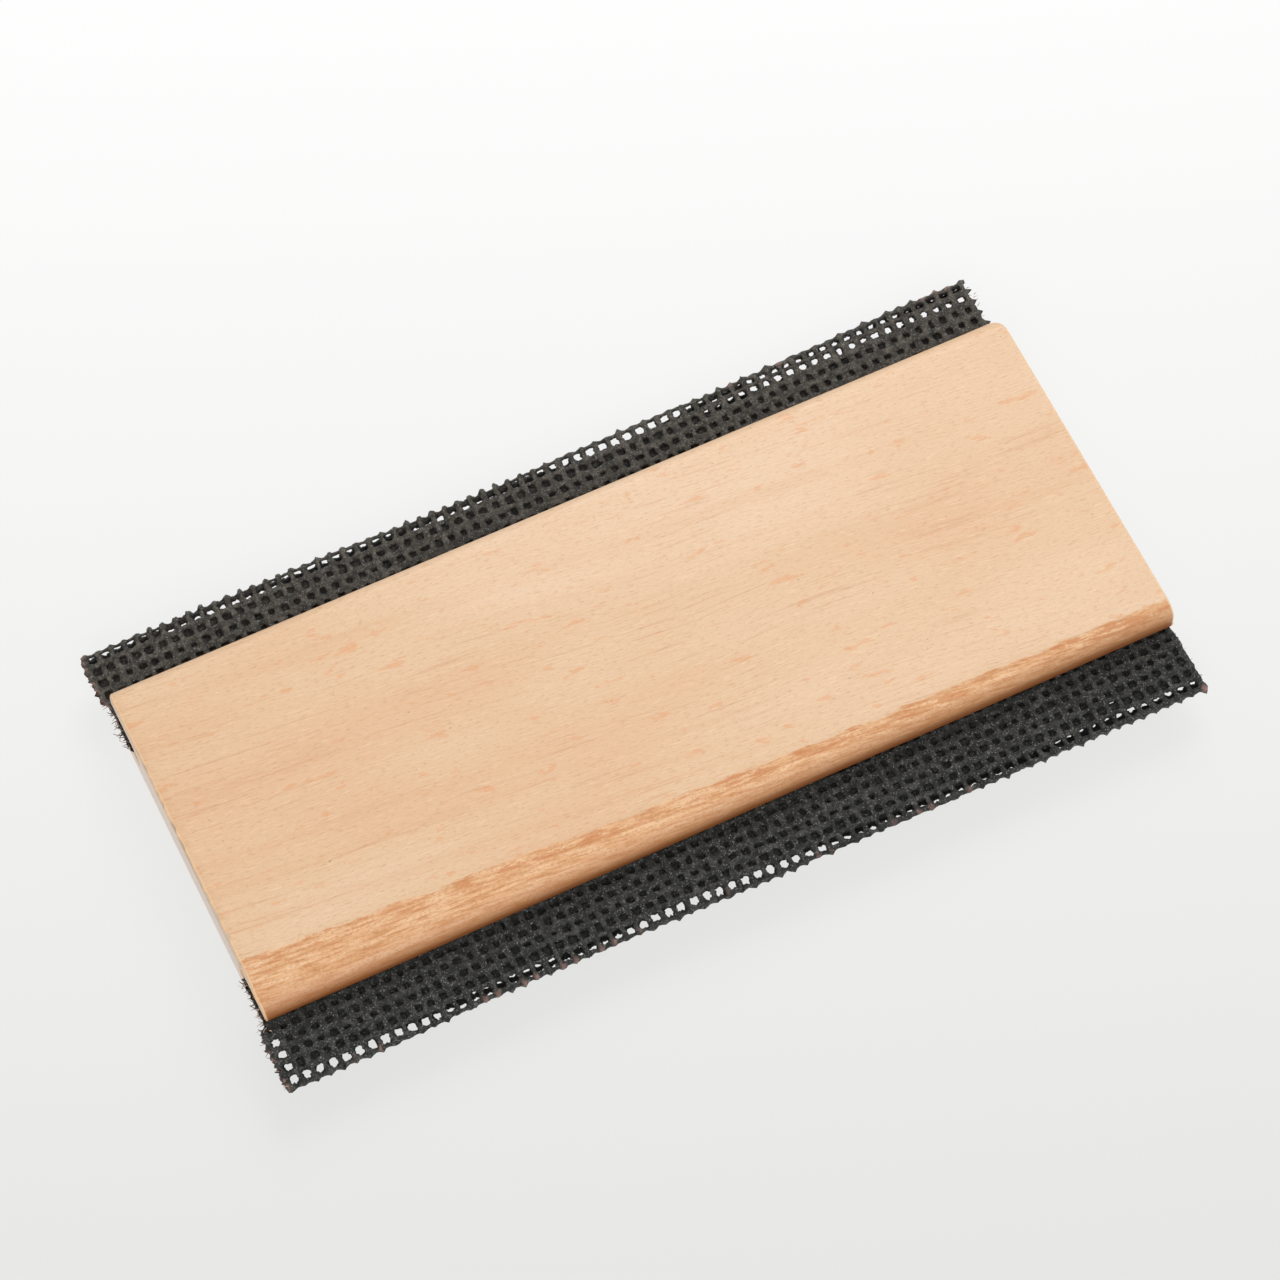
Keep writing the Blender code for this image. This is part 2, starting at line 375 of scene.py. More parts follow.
# %% The outline at every station
W, T, R, S = HALF_WIDTH, THICKNESS, EDGE_RADIUS, HALF_WIDTH - SLOT_DEPTH
top_y = facet_start(stations)
foot_y = -W + R - R * math.sin(FACET_SLOPE)
foot_z = T - (top_y - foot_y) * math.tan(FACET_SLOPE)
round_z = foot_z - R * math.cos(FACET_SLOPE)
soften = np.minimum(0.7 * MM, 0.4 * (top_y - foot_y))
outline = np.concatenate([
    run((-W, SLOT_LOW), (-W, R), 3),
    arc(-W + R, R, 180, 270, 8),
    run((-W + R, 0.0), (W - R, 0.0), 14),
    arc(W - R, R, -90, 0, 8),
    run((W, R), (W, SLOT_LOW), 3),
    run((W, SLOT_LOW), (S, SLOT_LOW), 4),
    run((S, SLOT_LOW), (S, SLOT_HIGH), 2),
    run((S, SLOT_HIGH), (W, SLOT_HIGH), 4),
    run((W, SLOT_HIGH), (W, T - R), 3),
    arc(W - R, T - R, 0, 90, 9),
    run((W - R, T), (top_y + soften, T), 64),
    run((top_y + soften, T), (top_y, T - 0.25 * soften * math.tan(FACET_SLOPE)), 2),
    run((top_y, T - 0.25 * soften * math.tan(FACET_SLOPE)),
        (top_y - soften, T - soften * math.tan(FACET_SLOPE)), 2),
    run((top_y - soften, T - soften * math.tan(FACET_SLOPE)), (foot_y, foot_z), 6),
    arc(-W + R, round_z, 105, 180, 9),
    run((-W, round_z), (-W, SLOT_HIGH), 3),
    run((-W, SLOT_HIGH), (-S, SLOT_HIGH), 4),
    run((-S, SLOT_HIGH), (-S, SLOT_LOW), 2),
    run((-S, SLOT_LOW), (-W, SLOT_LOW), 4),
], axis=1)
print("stations and points in each outline:", outline.shape[:2])

# %% [markdown]
# The outline is drawn in along its own normals at the eased ends. A slow wander of a few hundredths
# of a millimetre keeps the near edge from looking machined, and the far right corner is cut back in
# a quarter circle.

# %% Easing the ends and the corner
tangent = np.roll(outline, -1, axis=1) - np.roll(outline, 1, axis=1)
tangent /= np.linalg.norm(tangent, axis=2, keepdims=True)
outward = np.stack([tangent[:, :, 1], -tangent[:, :, 0]], -1)
wander = 0.05 * MM * np.sin(stations / (9 * MM)) * np.sin(stations / (23 * MM) + 1.0)
outline = outline - outward * inset[:, None, None]
near_lip = (outline[:, :, 0] < -W + 1.5 * MM) & (outline[:, :, 1] > SLOT_LOW - 0.2 * MM)
outline[:, :, 0] += wander[:, None] * near_lip
into_corner = np.clip((stations - HALF_LENGTH + CORNER) / CORNER, 0, 1)
cut_back = CORNER * (1 - np.sqrt(1 - 0.97 * into_corner ** 2))
outline[:, :, 0] -= cut_back[:, None] * np.clip((outline[:, :, 0] - W + 4 * MM) / (4 * MM), 0, 1)
print(f"the far right corner is cut back by {cut_back.max() / MM:.1f} mm")

# %% [markdown]
# Now the outlines become points. The left end leans in by 0.4 mm at its foot, and its top edge
# carries the small steps of the saw. The faces run between neighbouring stations.

# %% Points and faces of the block
UNDERCUT, UNDERCUT_RUN = 0.4 * MM, 8 * MM
SAW_STEP = 0.06 * MM
count = outline.shape[1]
points = np.empty((len(stations), count, 3))
points[:, :, 0] = stations[:, None]
points[:, :, 1:] = outline
saw_marks = np.random.default_rng(11).standard_normal(count)
saw_marks = SAW_STEP * (saw_marks + 0.6 * np.roll(saw_marks, 1))
near_left_end = np.clip((-HALF_LENGTH + UNDERCUT_RUN - stations) / UNDERCUT_RUN, 0, 1)[:, None]
points[:, :, 0] += UNDERCUT * (T - outline[:, :, 1]) / T * near_left_end
on_left_face = (stations < -HALF_LENGTH + 0.7 * END_EASE)[:, None]
points[:, :, 0] += saw_marks * on_left_face * (outline[:, :, 1] > T - R)
index = np.arange(len(stations) * count).reshape(len(stations), count)
ahead = np.roll(index, -1, axis=1)
quads = np.stack([index[:-1], index[1:], ahead[1:], ahead[:-1]], -1).reshape(-1, 4)
print("quads round the block:", len(quads))

# %% [markdown]
# The beech reads five values from the mesh. Each is worked out for every point from its place in
# the section. Those of the facet and the lip are cleared on the end faces, because one large face
# would smear them.

# %% Zones of the finish, and the finished block
OFF_FACET = -10.0
y, z = outline[:, :, 0], outline[:, :, 1]
above_slot = z > SLOT_HIGH - 0.1 * MM
past_top_line = top_y[:, None] - y
at_end = inset[:, None] > 0.9 * END_EASE
end_grain = at_end * np.ones_like(y)
# The eased end edges carry a painted highlight.
end_edge_highlight = (inset[:, None] > 0) * (1 - end_grain)
# How far down the facet a point lies; this carries painted shade towards the facet's lower edge.
facet_foot_shade = np.where(above_slot, past_top_line / (top_y[:, None] + W), 0.0) * (1 - end_grain)
facet_depth = np.where(above_slot & ~at_end, past_top_line / MM, OFF_FACET)
# The lip zone carries painted shade, strongest just above the slot.
painted_shade_lip = np.clip(1.2 - (z - SLOT_HIGH) / (1.9 * MM), 0, 1) * (np.abs(y) > W - 1.4 * MM)
painted_shade_lip = painted_shade_lip * above_slot * (1 - end_grain)
zone_values = dict(zip(ZONES, (facet_depth, facet_foot_shade, painted_shade_lip, end_grain, end_edge_highlight)))
end_faces = (index[0].tolist(), index[-1][::-1].tolist())
wood_block = mesh_piece("wood_block_beech", points.reshape(-1, 3), quads, beech, zone_values, end_faces)
wood_block.data.set_sharp_from_angle(angle=math.radians(40.0))
for end_face in list(wood_block.data.polygons)[-2:]:
    end_face.use_smooth = False
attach(wood_block, "root")
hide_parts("wood_block")

# %% [markdown]
# ## Abrasive net
#
# The net is an open leno weave of polyamide yarn, coated all over with black resin and
# silicon-carbide grit, as in screen sanding sheets. The resin fills the crossings, so the strands
# run into each other with rounded corners and the holes are between square and round. The grit is
# about a tenth of a millimetre: it gives a rough dull black with pale flecks, partly the grit's own grey and
# partly painted glints.

# %% The abrasive net material
GRIT_SIZE = 0.13 * MM


def net_ground(tree, coords):
    """Black resin with grey dust, varying over half a mm. The far strip, at y above 0, is painted lighter as
    a painted sheen from the light behind the block.
    """
    tone = add_node(tree, "TexNoise", {
        "Vector": coords, "Scale": 900.0, "Detail": 5.0, "Roughness": 0.75,
    }).outputs["Fac"]
    near_stops = [(0.36, "#151614"), (0.50, "#2A2B28"), (0.64, "#504F4B")]
    # Painted sheen: the far strip's tones are lighter than the near strip's.
    far_sheen_stops = [(0.36, "#2C2A25"), (0.50, "#47423A"), (0.64, "#6A645A")]
    near_tone = add_node(tree, "ValToRGB", {"Fac": tone}, near_stops).outputs["Color"]
    far_sheen_tone = add_node(tree, "ValToRGB", {"Fac": tone}, far_sheen_stops).outputs["Color"]
    across = add_node(tree, "SeparateXYZ", {"Vector": coords}).outputs["Y"]
    on_far = add_node(tree, "Math", {0: across, 1: 0.0}, operation="GREATER_THAN").outputs[0]
    return add_node(tree, "Mix", {0: on_far, 6: near_tone, 7: far_sheen_tone}, data_type="RGBA").outputs[2]


def make_abrasive_net():
    """Resin-bonded grit on yarn: near-black ground with painted shade in the holes, fine grit bump, pale grit
    flecks with painted glints, bare yarn where worn.
    """
    material, tree, output = new_material("silicon_carbide_net")
    coords = add_node(tree, "TexCoord").outputs["Object"]
    crown_light = add_node(tree, "Attribute", attribute_name="crown_light").outputs["Fac"]
    bare = add_node(tree, "Attribute", attribute_name="bare_yarn").outputs["Fac"]
    grit = add_node(tree, "TexVoronoi", {"Vector": coords, "Scale": 1.0 / GRIT_SIZE}, feature="F1")
    chance = add_node(tree, "TexWhiteNoise", {"Vector": grit.outputs["Position"]}, noise_dimensions="3D")
    # Pale grit flecks on the crowns: partly the grit's own grey, partly painted glints.
    grit_fleck_glint = add_node(tree, "MapRange", {"Value": chance.outputs["Value"], "From Min": 0.78, "From Max": 1.0})
    grit_fleck_glint = add_node(tree, "Math", {0: grit_fleck_glint.outputs["Result"], 1: 2.6}, operation="POWER")
    grit_fleck_glint = add_node(tree, "Math", {0: grit_fleck_glint.outputs[0], 1: crown_light}, operation="MULTIPLY").outputs[0]
    colour = net_ground(tree, coords)
    # Painted shade: where a point lies low on the strand, in a hole or underneath, the colour goes near
    # black.
    colour = add_node(tree, "Mix", {0: crown_light, 6: linear("#11110F"), 7: colour}, data_type="RGBA").outputs[2]
    colour = add_node(tree, "Mix", {0: grit_fleck_glint, 6: colour, 7: linear("#8E8E8A")}, data_type="RGBA").outputs[2]
    colour = add_node(tree, "Mix", {0: bare, 6: colour, 7: linear("#B58C80")}, data_type="RGBA").outputs[2]
    lumps = add_node(tree, "TexNoise", {"Vector": coords, "Scale": 2600.0, "Detail": 3.0, "Roughness": 0.7})
    relief = add_node(tree, "Math", {0: lumps.outputs["Fac"], 1: 2.0, 2: grit.outputs["Distance"]},
                      operation="MULTIPLY_ADD").outputs[0]
    bump = add_node(tree, "Bump", {"Height": relief, "Strength": 1.0, "Distance": 0.16 * MM})
    shader = add_node(tree, "BsdfPrincipled", {
        "Base Color": colour, "Roughness": 0.55, "IOR": 1.5, "Normal": bump.outputs["Normal"],
    })
    tree.links.new(shader.outputs["BSDF"], output.inputs["Surface"])
    return material


abrasive_net = make_abrasive_net()
print(f"{abrasive_net.name}: grit cells of {GRIT_SIZE / MM:.2f} mm")

# %% [markdown]
# ### One cell of net, repeated
#
# A woven net could be made of separate wavy yarns, but the coating joins them into one skin, so we
# build that skin. Its unit is a square cell with a hole in the middle. Round the hole there are
# sixteen spokes, and each spoke carries a profile: from the border of the cell on the top, down
# over the strand's shoulder to the wall of the hole, and back out along the underside. Neighbouring
# cells share their border points, so merging those gives one closed skin with real holes.

# %% The border of a cell, and merging
STRAND_HALF = 0.25 * MM      # half the thickness of a strand
SPOKES_PER_SIDE = 4


def square_border():
    """Sixteen points round a unit cell's border, anticlockwise from its lower left corner, in -0.5..0.5."""
    t = np.arange(SPOKES_PER_SIDE) / SPOKES_PER_SIDE - 0.5
    low, high = np.full_like(t, -0.5), np.full_like(t, 0.5)
    return np.concatenate([np.stack([t, low], 1), np.stack([high, t], 1),
                           np.stack([-t, high], 1), np.stack([low, -t], 1)])


def weld(points, quads):
    """Merge points that lie within a ten-thousandth of a cell of each other."""
    keys = np.round(points * 10000).astype(np.int64)
    _, first, inverse = np.unique(keys, axis=0, return_index=True, return_inverse=True)
    return points[first], inverse.ravel()[quads]


print("spokes round each hole:", len(square_border()))

# %% [markdown]
# All cells are worked out together, as one array indexed by column, row, spoke and step along the
# profile. The holes differ a little in size, place and roundness, as the coating leaves them.

# %% The net as a flat closed skin
RIM_ROUGHNESS = 0.12         # spread of a hole's radius from spoke to spoke
HOLE_SHIFT = 0.032           # spread of a hole's place, in cells


def net_skin(columns, rows, hole_u, hole_v, squareness, steps, rng):
    """Closed skin of columns x rows cells. Returns its points in cell units (u, v, and height from -1
    to 1) and its quads. hole_u and hole_v are (columns, rows) arrays of half sizes of the holes.
    A hole's rim is a superellipse: half size times the border direction over its own norm."""
    border = square_border()
    spokes = len(border)
    direction = np.arctan2(border[:, 1], border[:, 0])
    cosine, sine = np.cos(direction), np.sin(direction)
    norm = (np.abs(cosine) ** squareness + np.abs(sine) ** squareness) ** (1 / squareness)
    rim = np.stack([cosine / norm, sine / norm], 1)
    rough = 1 + RIM_ROUGHNESS * rng.standard_normal((columns, rows, spokes))
    size = np.stack([hole_u, hole_v], -1)[:, :, None, :] * rough[..., None]
    hole = rim[None, None] * size + HOLE_SHIFT * rng.standard_normal((columns, rows, 1, 2))
    angle = np.linspace(-1, 1, 2 * steps + 1) * math.pi / 2
    inward = np.cos(angle)[None, None, None, :, None]
    centre = np.stack(np.meshgrid(np.arange(columns) + 0.5, np.arange(rows) + 0.5, indexing="ij"), -1)
    outer = border[None, None, :, None, :]
    flat = centre[:, :, None, None, :] + outer + (hole[:, :, :, None, :] - outer) * inward
    height = np.broadcast_to(np.sin(angle), flat.shape[:-1])
    cells = np.concatenate([flat, height[..., None]], -1)
    number = np.arange(cells[..., 0].size).reshape(cells.shape[:-1])
    turn = np.roll(number, -1, axis=2)
    quads = np.stack([number[..., :-1], number[..., 1:], turn[..., 1:], turn[..., :-1]], -1).reshape(-1, 4)
    ring_points, ring_quads = net_rim(columns, rows, steps)
    points = np.concatenate([cells.reshape(-1, 3), ring_points])
    quads = np.concatenate([quads, ring_quads + cells[..., 0].size])
    return weld(points, quads)


print("a sheet of one cell has", len(square_border()), "spokes; the next cell closes its outer border")

# %% [markdown]
# The outer border has no neighbour to merge with, so it gets a rounded rim of its own: the border's
# points are carried round a half circle, half a strand outwards.

# %% The rim of the net
RIM_OUT = 0.19               # half a strand, in cells


def net_rim(columns, rows, steps):
    """The rounded outer border: the border's points, pushed out by half a strand in a half circle."""
    per_side = SPOKES_PER_SIDE
    along_u = np.arange(columns * per_side) / per_side
    along_v = np.arange(rows * per_side) / per_side
    path = np.concatenate([
        np.stack([along_u, np.zeros_like(along_u)], 1),
        np.stack([np.full_like(along_v, columns), along_v], 1),
        np.stack([columns - along_u, np.full_like(along_u, rows)], 1),
        np.stack([np.zeros_like(along_v), rows - along_v], 1),
    ])
    out = np.zeros_like(path)
    out[:, 0] = (path[:, 0] >= columns).astype(float) - (path[:, 0] <= 0)
    out[:, 1] = (path[:, 1] >= rows).astype(float) - (path[:, 1] <= 0)
    angle = np.linspace(1, -1, 2 * steps + 1) * math.pi / 2
    flat = path[:, None, :] + RIM_OUT * out[:, None, :] * np.cos(angle)[None, :, None]
    height = np.broadcast_to(np.sin(angle), flat.shape[:-1])
    number = np.arange(height.size).reshape(height.shape)
    turn = np.roll(number, -1, axis=0)
    quads = np.stack([number[:, :-1], number[:, 1:], turn[:, 1:], turn[:, :-1]], -1).reshape(-1, 4)
    return np.concatenate([flat, height[..., None]], -1).reshape(-1, 3), quads


print("points round the rim of one cell:", len(net_rim(1, 1, 2)[0]))

# %% [markdown]
# ### Folding the net
#
# The strip is folded lengthwise, with the fold outwards. The upper leaf keeps the weave straight.
# The hand that folded it did not keep the lower leaf's holes under the upper ones, so the lower leaf
# drifts by up to two thirds of a pitch along the block: where the holes meet, light comes through
# the outermost row, and elsewhere a strand of the lower leaf closes it.

# %% The fold
FOLD_RADIUS = 0.5 * MM
ARC = math.pi * FOLD_RADIUS / 2


def smooth_curve(x, knots):
    """Smooth curve through (x in mm, value) knots: cosine steps between neighbours."""
    knots = np.array(knots, float)
    at = np.clip(x / MM, knots[0, 0], knots[-1, 0])
    right = np.clip(np.searchsorted(knots[:, 0], at), 1, len(knots) - 1)
    left = right - 1
    t = (at - knots[left, 0]) / (knots[right, 0] - knots[left, 0])
    t = (1 - np.cos(math.pi * t)) / 2
    return knots[left, 1] * (1 - t) + knots[right, 1] * t


def fold_over(x, reach, height, edge, side):
    """Carry a flat strip round its fold. reach is the distance from the fold line, positive on the
    upper leaf: within the quarter arcs the point turns about the fold's axis, beyond them it runs
    straight inwards. edge is the outermost line of the fold at x. Returns (x, y, z)."""
    turn = np.clip(reach / FOLD_RADIUS, -math.pi / 2, math.pi / 2)
    beyond = np.maximum(np.abs(reach) - ARC, 0.0)
    radius = FOLD_RADIUS + height
    across = edge - FOLD_RADIUS + radius * np.cos(turn) - beyond
    up = radius * np.sin(turn)
    return np.stack([x, side * across, MID_HEIGHT + up], -1)


print(f"a quarter turn of the fold takes {ARC / MM:.2f} mm of net")

# %% [markdown]
# ### The weave of the two strips
#
# Each strip has its own count and pitch. Its columns start a little outside the block's end, as the
# strip was cut there. On the near strip both leaves are drawn back from the fold by about a fifth
# of a pitch. The strands rise and dip by less than a tenth of a millimetre, thicker at the crossings.

# %% Weave, height and ends of the skin
NEAR_WEAVE = {"columns": 72, "rows": 9, "first": -63.15 * MM, "pitch_x": 1.737 * MM,
              "pitch_y": 1.744 * MM, "apart": 0.22}
FAR_WEAVE = {"columns": 70, "rows": 8, "first": -62.9 * MM, "pitch_x": 1.776 * MM,
             "pitch_y": 1.82 * MM, "apart": 0.0}


def weave_height(u, v, h, pitch_half):
    """Height of the skin over the leaf's middle: the strand's own half thickness, thicker at the
    crossings, plus the rise and dip of the strands as they pass over and under each other."""
    crossing = np.cos(math.pi * u) ** 2 * np.cos(math.pi * v) ** 2
    parity = np.where(np.round(u).astype(int) % 2 == 0, 1.0, -1.0)
    weave = 0.07 * MM * parity * np.cos(math.pi * v) * np.cos(math.pi * u) ** 2
    return h * pitch_half * (0.84 + 0.34 * crossing) + weave


def crown_light_of(h):
    """How far up the strand a point lies, used as painted shade: 1 on its crown, which keeps its colour, 0 in
    the hole and below, which is painted near black.
    """
    return np.clip(1.6 * h + 0.15, 0, 1)


def keep_in_slot(x, across, v):
    """Inside the slot the strip was trimmed flush, so its ends are drawn in to the block's ends."""
    inside = np.clip((HALF_WIDTH + 1.0 * MM - across) / (1.2 * MM), 0, 1)
    ragged_end = (0.10 + 0.14 * np.sin(7.3 * v) + 0.10 * np.sin(19.0 * v + 1.0)) * MM
    trimmed = np.clip(x, -HALF_LENGTH + 0.15 * MM - ragged_end, HALF_LENGTH - 0.4 * MM)
    return x + (trimmed - x) * inside


for weave in (NEAR_WEAVE, FAR_WEAVE):
    print(f"{weave['columns']} columns fill {weave['columns'] * weave['pitch_x'] / MM:.1f} mm")

# %% [markdown]
# One function makes a whole folded strip. It sizes the holes row by row, makes the flat skin, moves
# the rows as the real ones lie, and carries the result round the fold. The second row may be drawn
# towards the fold, which leaves a narrow strip of light or none. Knuckles of the cross strands
# stand out of the fold, and some of them have lost their coating.

# %% Building a folded strip
def build_strip(name, side, weave, edge_knots, drift_knots, squeeze_knots, outer_knots, second_knots, seed,
                bare_columns, stub_length, stub_power):
    """One folded strip. Flat coordinates: u counts columns, v counts rows from the fold, upper leaf
    positive. squeeze draws the second row on both leaves towards the fold, drift moves the lower
    leaf alone, and the outer and second knots scale the holes of those rows."""
    rng = np.random.default_rng(seed)
    columns, leaf_rows = weave["columns"], weave["rows"]
    rows = 2 * leaf_rows
    depth = np.abs(np.arange(rows) + 0.5 - leaf_rows)
    inner = np.clip(depth - 0.9, 0, 1)
    hole_u = 0.302 + (0.014 + 0.034 * inner) * rng.standard_normal((columns, rows)) - 0.072 * inner
    hole_v = 0.318 + (0.014 + 0.034 * inner) * rng.standard_normal((columns, rows)) - 0.120 * inner
    hole_u[0], hole_v[0] = 0.30, 0.29
    hole_u[0, depth > 4], hole_v[0, depth > 4] = 0.12, 0.08
    middles = weave["first"] + (np.arange(columns) + 0.5) * weave["pitch_x"]
    narrow, round_holes = smooth_curve(middles, outer_knots), smooth_curve(middles, second_knots)
    hole_v[:, leaf_rows - 1] *= narrow
    hole_u[:, leaf_rows - 1] *= 0.35 + 0.65 * narrow
    hole_v[:, leaf_rows] *= 0.7 + 0.3 * narrow
    hole_v[:, (leaf_rows - 2, leaf_rows + 1)] += 0.085 * round_holes[:, None]
    hole_u[:, (leaf_rows - 2, leaf_rows + 1)] += 0.045 * round_holes[:, None]
    flat, quads = net_skin(columns, rows, hole_u, hole_v, 3.2, 2, rng)
    flat = flat + 0.020 * rng.standard_normal(flat.shape) * (1, 1, 9)
    u, v, h = flat.T
    v = v - leaf_rows
    x = weave["first"] + u * weave["pitch_x"]
    cut_strand = np.clip(0.12 - u, 0, 0.31) / 0.31
    ragged = 0.16 + 0.22 * np.sin(9.1 * v + seed) + 0.16 * np.sin(23.7 * v + 2 * seed)
    ragged = ragged + 0.10 * rng.standard_normal(len(u))
    x = x - cut_strand * ragged * MM
    lower = np.clip(0.5 - v, 0, 1)
    lower = lower * lower * (3 - 2 * lower)
    leaf_gap = 2 * FOLD_RADIUS
    on_cross_strand = np.cos(math.pi * u) ** 2
    height = weave_height(u, v, h, STRAND_HALF)
    under_upper = side * SIGHT_DRIFT[1] * leaf_gap / weave["pitch_y"] / 2
    ramp = np.clip((np.abs(v) - 0.3) / 1.2, 0, 1)
    squeeze = smooth_curve(x, squeeze_knots) * ramp * ramp * (3 - 2 * ramp) * np.sign(v)
    held = np.clip((v + leaf_rows) / 4, 0, 1)
    towards_edge = np.clip((leaf_rows - np.abs(v)) / 4, 0, 1)
    apart = weave["apart"] * np.sign(v) * np.clip(4 * np.abs(v), 0, 1) * towards_edge
    moved = v - squeeze + apart + under_upper + lower * held * smooth_curve(x, drift_knots)
    reach = moved * weave["pitch_y"]
    column = np.clip(np.round(u).astype(int), 0, columns)
    knuckle = (0.14 + 0.34 * rng.random(columns + 1) ** 2) * MM
    fold_zone = np.exp(-(reach / (0.62 * MM)) ** 2)
    height = height + fold_zone * on_cross_strand ** 2 * knuckle[column] * (h > -0.2)
    edge = smooth_curve(x, edge_knots) * MM - STRAND_HALF
    on_long_strand = np.abs(np.cos(math.pi * flat[:, 1])) ** stub_power
    stub = stub_length * np.clip(u - columns, 0, 1) / RIM_OUT * on_long_strand
    stub = stub * (0.6 + 0.8 * rng.random(rows + 1))[np.round(flat[:, 1]).astype(int)]
    points = fold_over(x + lower * SIGHT_DRIFT[0] * leaf_gap + stub, reach, height, edge, side)
    points[:, 0] = keep_in_slot(points[:, 0], side * points[:, 1], v)
    points[:, 2] += 0.04 * MM * np.sin(x / (11 * MM) + seed) * np.clip(np.abs(v) / 3, 0, 1)
    bare = np.isin(column, bare_columns) * np.exp(-((reach - 0.30 * MM) / (0.24 * MM)) ** 2)
    bare = bare * (on_cross_strand > 0.75) * (h > 0.3)
    frayed = 1.2 * rng.random(len(u)) + 0.5 * np.sin(14 * v + seed) - 0.45
    cut = np.clip(-u / 0.12, 0, 1) * np.clip(frayed, 0, 1)
    if side < 0:
        quads = quads[:, ::-1]
    # Painted shade: the holes and undersides are darkened, and the fold's knuckles stay lit.
    crown_light = np.maximum(crown_light_of(h), fold_zone)
    values = {"bare_yarn": np.maximum(bare, cut), "crown_light": crown_light}
    return mesh_piece(name, points, quads, abrasive_net, values)


print("build_strip is ready for", STRAND_HALF / MM, "mm half strands")

# %% [markdown]
# The turned-in edge of the strip lies between the two leaves as a third layer. It is built as a
# piece of its own, flat and thinner, and it stops the light everywhere but in the outermost row.

# %% Building the turned-in edge
INNER_HALF = 0.18 * MM


def build_inner_leaf(name, side, weave, edge_knots, squeeze_knots, reach_knots, first_column, seed):
    """The turned-in edge between the two leaves. Its cross rows lie under the upper leaf's holes, so
    no light passes there; reach_knots says how near to the fold its own edge comes, in pitches."""
    rng = np.random.default_rng(seed)
    columns, rows = weave["columns"] - first_column, weave["rows"] - 1
    hole_u = 0.26 + 0.02 * rng.standard_normal((columns, rows))
    hole_v = 0.13 + 0.01 * rng.standard_normal((columns, rows))
    hole_u[:, 0], hole_v[:, 0] = 0.03, 0.03
    flat, quads = net_skin(columns, rows, hole_u, hole_v, 3.0, 2, rng)
    u, v, h = flat.T
    u = u + first_column
    x = weave["first"] + u * weave["pitch_x"] + SIGHT_DRIFT[0] * FOLD_RADIUS
    start = smooth_curve(x, reach_knots)
    reach = np.maximum(v + 0.5, start + 0.15 * v) - smooth_curve(x, squeeze_knots) + weave["apart"]
    reach = reach * weave["pitch_y"]
    edge = smooth_curve(x, edge_knots) * MM - STRAND_HALF
    across = edge - FOLD_RADIUS + ARC - reach
    x = keep_in_slot(x, across, v)
    points = np.stack([x, side * across, MID_HEIGHT + weave_height(u, v, h, INNER_HALF)], -1)
    if side < 0:
        quads = quads[:, ::-1]
    cut = np.clip((first_column - u) / RIM_OUT, 0, 1) * (0.5 + 0.5 * rng.random(len(u)))
    # Painted shade: the inner leaf is kept under half, so it reads dark between the leaves.
    values = {"bare_yarn": cut, "crown_light": 0.45 * crown_light_of(h)}
    return mesh_piece(name, points, quads, abrasive_net, values)


print("build_inner_leaf is ready for", INNER_HALF / MM, "mm half strands")

# %% [markdown]
# The run of the real folds is written down as a few knots along the block: x in millimetres, then a
# value. EDGE is how far out the fold lies, in millimetres. DRIFT, SQUEEZE and INNER are in pitches.
# HOLES scale the openings of the first and second row, and BARE lists the columns whose knuckle has
# lost its coating.

# %% How each strip runs along the block
NEAR_EDGE = [(-63, 33.05), (-50, 32.95), (-36, 32.72), (-15, 32.75), (5, 33.0), (30, 33.2), (63, 33.4)]
NEAR_DRIFT = [(-63, 0.0), (-49, 0.0), (-45, 0.2), (-41, 0.36), (-37, 0.50), (-31, 0.53), (-24, 0.50),
              (-19, 0.38), (-14, 0.1), (-11, 0.0), (1, 0.0), (5, 0.16), (9, 0.34), (13, 0.42), (20, 0.38),
              (34, 0.42), (39, 0.56), (46, 0.58), (52, 0.61), (63, 0.63)]
NEAR_INNER = [(-63, 1.02), (3, 1.02), (9, 0.86), (18, 0.70), (40, 0.70), (47, 1.0), (63, 1.02)]
FAR_EDGE = [(-63, 31.95), (-42, 32.1), (-30, 31.95), (-15, 31.8), (10, 31.9), (22, 32.1), (60, 32.9)]
FAR_DRIFT = [(-63, 0.34), (-57, 0.38), (-53.5, 0.5), (-50, 0.62), (-45, 0.66), (-41, 0.60), (-38, 0.5),
             (-35, 0.36), (-28, 0.33), (-22, 0.38), (-18, 0.5), (-13, 0.62), (-9, 0.60), (-4, 0.48),
             (0, 0.36), (4, 0.12), (7, 0.0), (16, 0.0), (19, 0.15), (22, 0.35), (25, 0.42), (28, 0.3),
             (31, 0.0), (63, 0.0)]
FAR_SQUEEZE = [(-63, 0.0), (21, 0.0), (30, 0.42), (38, 0.42), (48, 0.30), (63, 0.14)]
FAR_INNER = [(-63, 1.0), (20, 1.02), (28, 2.0), (63, 2.0)]
NONE = [(-63, 0.0), (63, 0.0)]
NEAR_OUTER_HOLES = [(-63, 1.0), (12, 1.0), (16, 0.72), (36, 0.72), (44, 0.85), (63, 0.8)]
NEAR_SECOND_HOLES = [(-63, 0.0), (-41, 0.0), (-36, 1.0), (-24, 1.0), (-18, 0.0), (44, 0.0), (50, 0.8),
                     (63, 0.8)]
FAR_OUTER_HOLES = [(-63, 1.0), (22, 1.0), (29, 0.5), (48, 0.45), (51, 0.35), (54, 0.02), (63, 0.02)]
FAR_SECOND_HOLES = [(-63, 0.0), (22, 0.0), (29, 0.15), (46, 0.0), (63, -0.7)]
NEAR_BARE = (0, 5, 7, 15, 16, 18, 19, 21, 22, 24, 25, 27, 34, 41, 42, 47, 49, 50, 53, 72)
FAR_BARE = (0, 51, 55, 67, 68, 69)
NEAR_LEAF_START, FAR_LEAF_START = 1, 0      # first column of each turned-in edge
